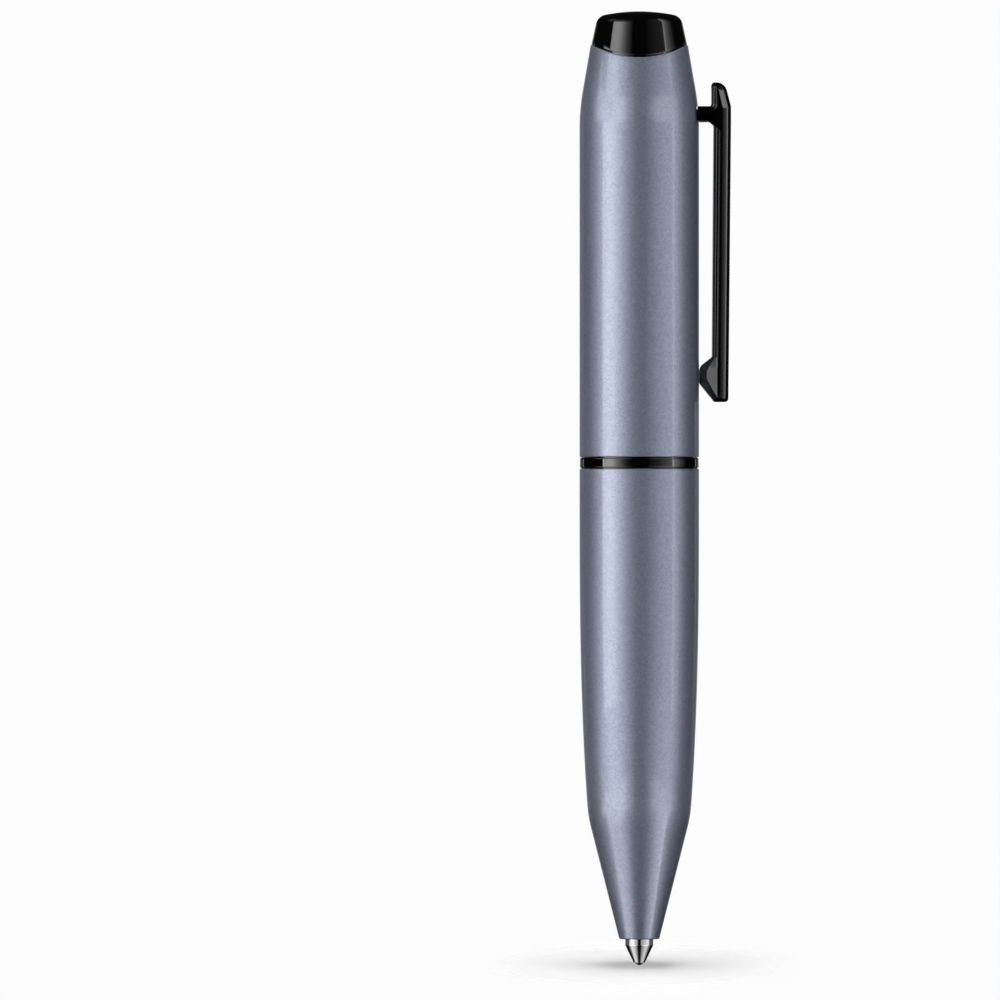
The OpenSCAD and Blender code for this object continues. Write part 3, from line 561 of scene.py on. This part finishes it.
def roundedLevels(levels, edges, steps=6, hold=0.02, most=0.42, mostHold=0.05):
    # across the levels each inner one becomes a small quadratic curve that starts and ends an edge
    # length away from it, towards its neighbours, with a hold point outside each end; neither is
    # longer than its share of the way to the neighbour
    columns = [levels[0][:, None]]
    t = np.linspace(0, 1, steps)[None, :, None]
    for before, level, after, (edgeBack, edgeAhead) in zip(levels, levels[1:], levels[2:], edges):
        back, ahead = before - level, after - level
        backLength = np.maximum(np.linalg.norm(back, axis=1, keepdims=True), 1e-9)
        aheadLength = np.maximum(np.linalg.norm(ahead, axis=1, keepdims=True), 1e-9)
        backUnit, aheadUnit = back / backLength, ahead / aheadLength
        start = (level + backUnit * np.minimum(edgeBack, most * backLength))[:, None]
        end = (level + aheadUnit * np.minimum(edgeAhead, most * aheadLength))[:, None]
        curve = (1 - t) ** 2 * start + 2 * t * (1 - t) * level[:, None] + t ** 2 * end
        columns += [start + backUnit[:, None] * np.minimum(hold, mostHold * backLength)[:, None], curve,
                    end + aheadUnit[:, None] * np.minimum(hold, mostHold * aheadLength)[:, None]]
    return np.concatenate(columns + [levels[-1][:, None]], axis=1)


def clipBar():
    # ribs across the bar, one for each point of the outlines, from the middle of the front face over
    # the side to the middle of the back; the other half is their mirror image
    s = clipSizes
    line = {key: roundedCorners(s[key]) for key in (
        "front", "slopeEnd", "middle", "bevelEnd", "sideEnd", "stepEnd", "bevelStart", "back")}
    count = len(line["front"])
    place = np.arange(count)
    inner = np.clip((np.minimum(place, count - 1 - place) - s["endPoints"]) / s["blendPoints"], 0, 1)
    inner = inner * inner * (3 - 2 * inner)
    gapBack = np.linalg.norm(line["bevelStart"] - line["back"], axis=1)
    # on the foot the band inside the side face tilts back, elsewhere it only steps down
    low, high = s["footTop"]
    foot = np.clip((high - line["bevelStart"][:, 1]) / (high - low), 0, 1)
    tilt = math.tan(math.radians(s["footTilt"]))
    stepHalf, bevelHalf = (s["sideHalf"] - s["step"] * (1 - foot)
                           - foot * tilt * np.maximum(s["footSide"] - line[key][:, 0], 0)
                           for key in ("stepEnd", "bevelStart"))
    backHalf = bevelHalf - s["backSlope"] * gapBack
    stepEndHalf = s["sideHalf"] - s["endStep"]
    level = lambda key, half: np.stack([line[key][:, 0], half + 0 * inner, line[key][:, 1]], axis=1)
    levels = [
        level("front", 0),
        level("front", s["endHalf"] + (s["frontHalf"] - s["endHalf"]) * inner),
        level("slopeEnd", s["endSlopeHalf"] + (s["slopeHalf"] - s["endSlopeHalf"]) * inner),
        level("middle", s["middleHalf"]),
        level("bevelEnd", s["sideHalf"]),
        level("sideEnd", s["sideHalf"]),
        level("stepEnd", stepEndHalf + (stepHalf - stepEndHalf) * inner),
        level("bevelStart", s["endSlopeHalf"] + (bevelHalf - s["endSlopeHalf"]) * inner),
        level("back", s["endHalf"] + (backHalf - s["endHalf"]) * inner),
        level("back", 0)]
    ribs = roundedLevels(levels, s["edges"])
    loop = np.concatenate([ribs, ribs[:, -2:0:-1] * [1, -1, 1]], axis=1)
    loop = np.vstack([0 * loop[:1] + loop[:1].mean(axis=1, keepdims=True), loop,
                      0 * loop[-1:] + loop[-1:].mean(axis=1, keepdims=True)])
    x, y, z = loop[..., 0], loop[..., 1], loop[..., 2]
    boss = np.sqrt(s["bossRadius"] ** 2 - y ** 2)
    x = np.where(z > s["bossLow"], np.maximum(x, boss), x)
    notch = s["notchCentre"] - np.sqrt(np.maximum(s["notchRadius"] ** 2 - y ** 2, 0))
    z = np.where(np.abs(y) < s["notchRadius"], np.minimum(z, notch), z)
    bar = np.stack([x, y, z], axis=-1)
    outline = roundedCorners(s["tongue"])
    half, edge = s["tongueHalf"], s["tongueEdge"]
    sides = np.array([-half, -half + edge, half - edge, half])[None, :, None]
    shrink = np.array([edge, 0, 0, edge])[None, :, None]
    middle = outline.mean(axis=0)
    flat = outline[:, None] - np.sign(outline[:, None] - middle) * shrink
    tongue = np.concatenate([flat[..., :1], sides + 0 * flat[..., :1], flat[..., 1:]], axis=-1)
    caps = np.concatenate([tongue[:, :1] * [1, 1, 0] + [0, 0, middle[1]], tongue,
                           tongue[:, -1:] * [1, 1, 0] + [0, 0, middle[1]]], axis=1)
    points = np.vstack([bar.reshape(-1, 3), caps.reshape(-1, 3)])
    faces = np.vstack([gridFaces(*bar.shape[:2]).reshape(-1, 4),
                       gridFaces(*caps.shape[:2], closeRows=True, closeColumns=False).reshape(-1, 4)
                       + bar.shape[0] * bar.shape[1]])
    makePiece("clipBar", points, faces, "clip", "black_lacquer", "clip")


clipBar()


# studio
studio = {
    # brightness of the screens by angle round the pen from the camera, to the right, in degrees
    "left": [[-75.4, 7], [-73.4, 7], [-72.8, 4.0], [-63, 5.2], [-54, 4.7], [-46, 2.6], [-37, 1.15],
             [-29, 0.36], [-22, 0.1], [-15, 0]],
    "right": [[14, 0], [25, 0.12], [34, 0.2], [41, 0.35], [50, 0.62], [59, 0.93], [66.5, 1.1],
              [67.4, 5.5], [69, 5.5], [69.6, 2.5], [76.6, 1.6], [87, 0.5], [99, 0.04], [110, 0]],
    "fill": [[-100, 0], [-86, 4.2], [-64, 2.2], [-46, 3.8], [-34, 5], [-20, 1.8], [-10, 0], [8, 0],
             [20, 0.9], [30, 3.1], [48, 3.4], [56, 2.5], [76, 2.5], [84, 0]],
    # the same for the crown: its side, and its round edge
    "crownLeft": [[-76, 3.2], [-72, 3.2], [-60, 3.8], [-51, 3.1], [-42, 1.7], [-34, 0.74], [-25, 0.27],
                  [-18, 0.015], [-14, 0]],
    "crownRight": [[14, 0], [23, 0.046], [32, 0.086], [40, 0.13], [58, 0.19], [65.5, 0.23], [66.3, 3.1],
                   [69, 2.5], [70, 1.5], [76, 1.0], [86, 0.32], [97, 0.045], [108, 0]],
    "crownTop": [[-112, 0], [-104, 2.2], [-80, 3.2], [-60, 3.6], [-46, 3.2], [-30, 1.2], [-16, 0]],
    # the same for the nose, the shank of the point and its cone
    "noseLeft": [[-92, 0], [-80, 0.4], [-79, 4.4], [-70, 2.8], [-58, 2.6], [-48, 2.9], [-38, 2.2],
                 [-28, 0.7], [-20, 0]],
    "noseRight": [[14, 0], [24, 0.3], [36, 1.3], [48, 2.5], [60, 3.2], [67, 6.6], [68, 6.6], [69, 0.4],
                  [90, 0.2], [110, 0]],
    "pointLeft": [[-150, 0.14], [-94, 0.14], [-88, 1.0], [-60, 1.1], [-30, 0.8], [-14, 0.5], [-12, 0]],
    "pointRight": [[11, 0], [13, 0.45], [50, 0.9], [84, 1.0], [94, 0.14], [150, 0.14]],
    "coneLeft": [[-112, 0.3], [-97, 0.5], [-94, 1.0], [-84, 1.2], [-60, 1.0], [-48, 0.74], [-36, 0.46],
                 [-24, 0.18], [-16, 0.02], [-12, 0]],
    "coneRight": [[12, 0], [16, 0.02], [22, 0.14], [28, 0.3], [38, 0.5], [51, 0.6], [62, 0.8],
                  [74, 1.05], [86, 0.8], [96, 0.4], [112, 0.25]],
    # each screen: levels, heights in metres, share of the brightness, distance from the pen
    "screens": [["left", -0.05, 0.24, 1.0, 0.5], ["crownLeft", 0.24, 0.38, 1.0, 0.5],
                ["crownTop", 0.38, 0.6, 0.12, 0.5], ["right", -0.05, 0.24, 1.0, 0.5],
                ["crownRight", 0.24, 0.7, 1.0, 0.5], ["fill", -0.1, -0.01, 1.1, 0.49],
                ["fill", 0.13, 0.24, 0.9, 0.49],
                ["noseLeft", -0.29, -0.05, 1.0, 0.5], ["noseRight", -0.29, -0.05, 1.0, 0.5],
                ["pointLeft", -0.045, -0.010, 1.0, 0.48], ["pointRight", -0.045, -0.010, 1.0, 0.48],
                ["coneLeft", -0.78, -0.31, 1.0, 0.48], ["coneRight", -0.78, -0.31, 1.0, 0.48]],
    "screenStrength": 12.0,
    "overhead": 0.6, "overheadSize": [0.2, 0.2], "overheadWatts": 7.4, "floorLean": 3.5,
    # the backdrop as mirrors see it, by how far the direction points backwards: between black flags
    "backdrop": 0.98, "roomLevel": 0.01,
    "mirrored": [[0, 0], [0.758, 0], [0.77, 1], [0.80, 1], [0.815, 0], [0.88, 0], [0.93, 0.4], [1, 0.4]],
    "mirroredTop": [0.08, 0.16],
    # the floor: own glow, half axes in mm, where it fades as shares of them, colours and grain in mm
    "floorGlow": 0.38, "floorReach": [26.0, 36.0], "floorRings": [0, 0.5, 1.02], "floorFade": [0.34, 0.84],
    "floorColour": "#8c8c8c", "floorPale": "#909090", "floorGrain": 0.6,
    # the camera in metres: place, width of a pixel at the pen, sensor width and count of pixels
    "cameraX": -0.01532, "cameraY": -1.2, "cameraZ": 0.05117, "pixel": 0.00011,
    "sensor": 36, "pixels": 1000, "cameraClip": [0.05, 5],
}


def rampOf(tree, source, levels, scale=1.0):
    # brightness by position, both as shares of their range
    ramp = addNode(tree, "ValToRGB", (), {"Fac": source})
    stops = ramp.color_ramp.elements
    stops.remove(stops[1])
    low, high = levels[0][0], levels[-1][0]
    for number, (place, level) in enumerate(levels):
        stop = stops[0] if number == 0 else stops.new((place - low) / (high - low))
        stop.position = (place - low) / (high - low)
        stop.color = (*[level / scale] * 3, 1)
    return ramp.outputs["Color"]


def emptyTree(holder):
    # the nodes of a material or world, with none of its first ones
    holder.use_nodes = True
    holder.node_tree.nodes.clear()
    return holder.node_tree


def addSheet(name, points, faces, material):
    # a sheet of the studio from points in metres
    mesh = bpy.data.meshes.new(name)
    mesh.from_pydata(points.reshape(-1, 3).tolist(), [], faces.reshape(-1, 4).tolist())
    mesh.materials.append(material)
    sheet = bpy.data.objects.new(name, mesh)
    bpy.context.scene.collection.objects.link(sheet)
    return sheet


def lightSheet(number, key, lowZ, highZ, share, distance, rows=3, columns=25):
    # a curved translucent screen round the pen, lit from behind: its brightness follows the angle
    s = studio
    name, levels = "screen%d" % number, s[key]
    angles = np.radians(np.linspace(levels[0][0], levels[-1][0], columns))
    corner = np.stack([np.sin(angles), -np.cos(angles)], axis=-1) * distance
    heights = np.linspace(lowZ, highZ, rows)
    points = np.concatenate([np.broadcast_to(corner[None], (rows, columns, 2)),
                             np.broadcast_to(heights[:, None, None], (rows, columns, 1))], axis=-1)
    material = bpy.data.materials.new(name)
    tree = emptyTree(material)
    place = addNode(tree, "TexCoord")
    parts = addNode(tree, "SeparateXYZ", (), {"Vector": place.outputs["Object"]})
    front = addNode(tree, "Math", {1: -1.0}, {0: parts.outputs["Y"]}, operation="MULTIPLY")
    turn = addNode(tree, "Math", (), {0: parts.outputs["X"], 1: front.outputs[0]}, operation="ARCTAN2")
    along = addNode(tree, "MapRange", {"From Min": angles[0], "From Max": angles[-1]},
                    {"Value": turn.outputs[0]})
    glow = addNode(tree, "Emission", {"Strength": s["screenStrength"] * share},
                   {"Color": rampOf(tree, along.outputs[0], levels, s["screenStrength"])})
    addNode(tree, "OutputMaterial", (), {"Surface": glow.outputs[0]})
    sheet = addSheet(name, points, gridFaces(rows, columns, closeColumns=False), material)
    sheet.visible_camera = False


def floorDisc(sides=64):
    # a pale floor that melts into the white backdrop: a share of its own glow, the rest is lit, so
    # that it keeps the pen's shadow; from below it is clear
    s = studio
    angle = np.linspace(-np.pi, np.pi, sides, endpoint=False)
    points = turned([[share, 0] for share in s["floorRings"]], angle) * [*s["floorReach"], 0]
    points[..., 2] = points[..., 1] * math.tan(math.radians(s["floorLean"]))
    material = bpy.data.materials.new("whiteCard")
    tree = emptyTree(material)
    place = addNode(tree, "TexCoord")
    oval = addNode(tree, "Mapping", {"Scale": (perMm(s["floorReach"][0]), perMm(s["floorReach"][1]), 1)},
                   {"Vector": place.outputs["Object"]})
    reach = addNode(tree, "VectorMath", (), {0: oval.outputs[0]}, operation="LENGTH")
    grain = addNode(tree, "TexNoise", {"Scale": perMm(s["floorGrain"]), "Detail": 2.0},
                    {"Vector": place.outputs["Object"]})
    shade = addNode(tree, "Mix", {6: linear(s["floorColour"]), 7: linear(s["floorPale"])},
                    {"Factor": grain.outputs["Fac"]}, data_type="RGBA")
    card = addNode(tree, "BsdfDiffuse", (), {"Color": shade.outputs[2]})
    path = addNode(tree, "LightPath")
    seen = addNode(tree, "Math", (), {0: path.outputs["Is Camera Ray"], 1: path.outputs["Is Glossy Ray"]},
                   operation="MAXIMUM")
    seen = addNode(tree, "Math", (), {0: seen.outputs[0], 1: path.outputs["Is Transmission Ray"]},
                   operation="MAXIMUM")
    level = addNode(tree, "Math", {1: s["floorGlow"]}, {0: seen.outputs[0]}, operation="MULTIPLY")
    glow = addNode(tree, "Emission", (), {"Strength": level.outputs[0]})
    both = addNode(tree, "AddShader", (), {0: card.outputs[0], 1: glow.outputs[0]})
    clear = addNode(tree, "BsdfTransparent")
    fade = addNode(tree, "MapRange", {"From Min": s["floorFade"][0], "From Max": s["floorFade"][1]},
                   {"Value": reach.outputs["Value"]}, interpolation_type="SMOOTHSTEP")
    side = addNode(tree, "NewGeometry")
    gone = addNode(tree, "Math", (), {0: fade.outputs[0], 1: side.outputs["Backfacing"]},
                   operation="MAXIMUM")
    mix = addNode(tree, "MixShader", (), {0: gone.outputs[0], 1: both.outputs[0], 2: clear.outputs[0]})
    addNode(tree, "OutputMaterial", (), {"Surface": mix.outputs[0]})
    # the order of the corners is turned round, so that the faces look up
    disc = addSheet("floorDisc", points * mm, gridFaces(*points.shape[:2])[..., ::-1], material)
    disc.visible_glossy = False


def overheadLamp():
    # a soft square lamp straight above gives the shadow round the point
    s = studio
    lamp = bpy.data.lights.new("overheadLamp", "AREA")
    lamp.shape = "RECTANGLE"
    lamp.size, lamp.size_y = s["overheadSize"]
    lamp.energy = s["overheadWatts"]
    holder = bpy.data.objects.new("overheadLamp", lamp)
    holder.location = (0, 0, s["overhead"])
    holder.visible_camera = False
    holder.visible_glossy = False
    bpy.context.scene.collection.objects.link(holder)


def whiteBackdrop():
    # white where the camera looks and where mirrors look past the pen at the backdrop, dim elsewhere
    s = studio
    world = bpy.data.worlds.new("studioWorld")
    bpy.context.scene.world = world
    tree = emptyTree(world)
    path = addNode(tree, "LightPath")
    place = addNode(tree, "TexCoord")
    parts = addNode(tree, "SeparateXYZ", (), {"Vector": place.outputs["Generated"]})
    level = addNode(tree, "CombineXYZ", (), {"X": parts.outputs["X"], "Y": parts.outputs["Y"]})
    wide = addNode(tree, "VectorMath", (), {0: level.outputs[0]}, operation="LENGTH")
    share = addNode(tree, "Math", (), {0: parts.outputs["Y"], 1: wide.outputs["Value"]}, operation="DIVIDE")
    behind = rampOf(tree, share.outputs[0], s["mirrored"])
    mirror = addNode(tree, "Math", (), {0: path.outputs["Is Glossy Ray"],
                                        1: path.outputs["Is Transmission Ray"]}, operation="MAXIMUM")
    height = addNode(tree, "Math", (), {0: parts.outputs["Z"]}, operation="ABSOLUTE")
    level = addNode(tree, "MapRange", {"From Min": s["mirroredTop"][0], "From Max": s["mirroredTop"][1],
                                       "To Min": 1.0, "To Max": 0.0}, {"Value": height.outputs[0]})
    mirrored = addNode(tree, "Math", (), {0: mirror.outputs[0], 1: behind}, operation="MULTIPLY")
    mirrored = addNode(tree, "Math", (), {0: mirrored.outputs[0], 1: level.outputs[0]},
                       operation="MULTIPLY")
    white = addNode(tree, "Math", (), {0: mirrored.outputs[0], 1: path.outputs["Is Camera Ray"]},
                    operation="MAXIMUM")
    strength = addNode(tree, "MapRange", {"To Min": s["roomLevel"], "To Max": s["backdrop"]},
                       {"Value": white.outputs[0]})
    glow = addNode(tree, "Background", {"Color": (1, 1, 1, 1)}, {"Strength": strength.outputs[0]})
    addNode(tree, "OutputWorld", (), {"Surface": glow.outputs[0]})


def mainCamera():
    # level with the pen's middle and far away: lens = sensor * distance / (pixels * pixel's width)
    s = studio
    camera = bpy.data.cameras.new("mainCamera")
    camera.sensor_width = s["sensor"]
    camera.lens = s["sensor"] * -s["cameraY"] / (s["pixels"] * s["pixel"])
    camera.clip_start, camera.clip_end = s["cameraClip"]
    holder = bpy.data.objects.new("mainCamera", camera)
    holder.location = (s["cameraX"], s["cameraY"], s["cameraZ"])
    holder.rotation_euler = (math.pi / 2, 0, 0)
    bpy.context.scene.collection.objects.link(holder)
    bpy.context.scene.camera = holder


for number, screen in enumerate(studio["screens"]):
    lightSheet(number, *screen)
floorDisc()
overheadLamp()
whiteBackdrop()
mainCamera()
bpy.context.scene.view_settings.view_transform = "Standard"
print("studio made")
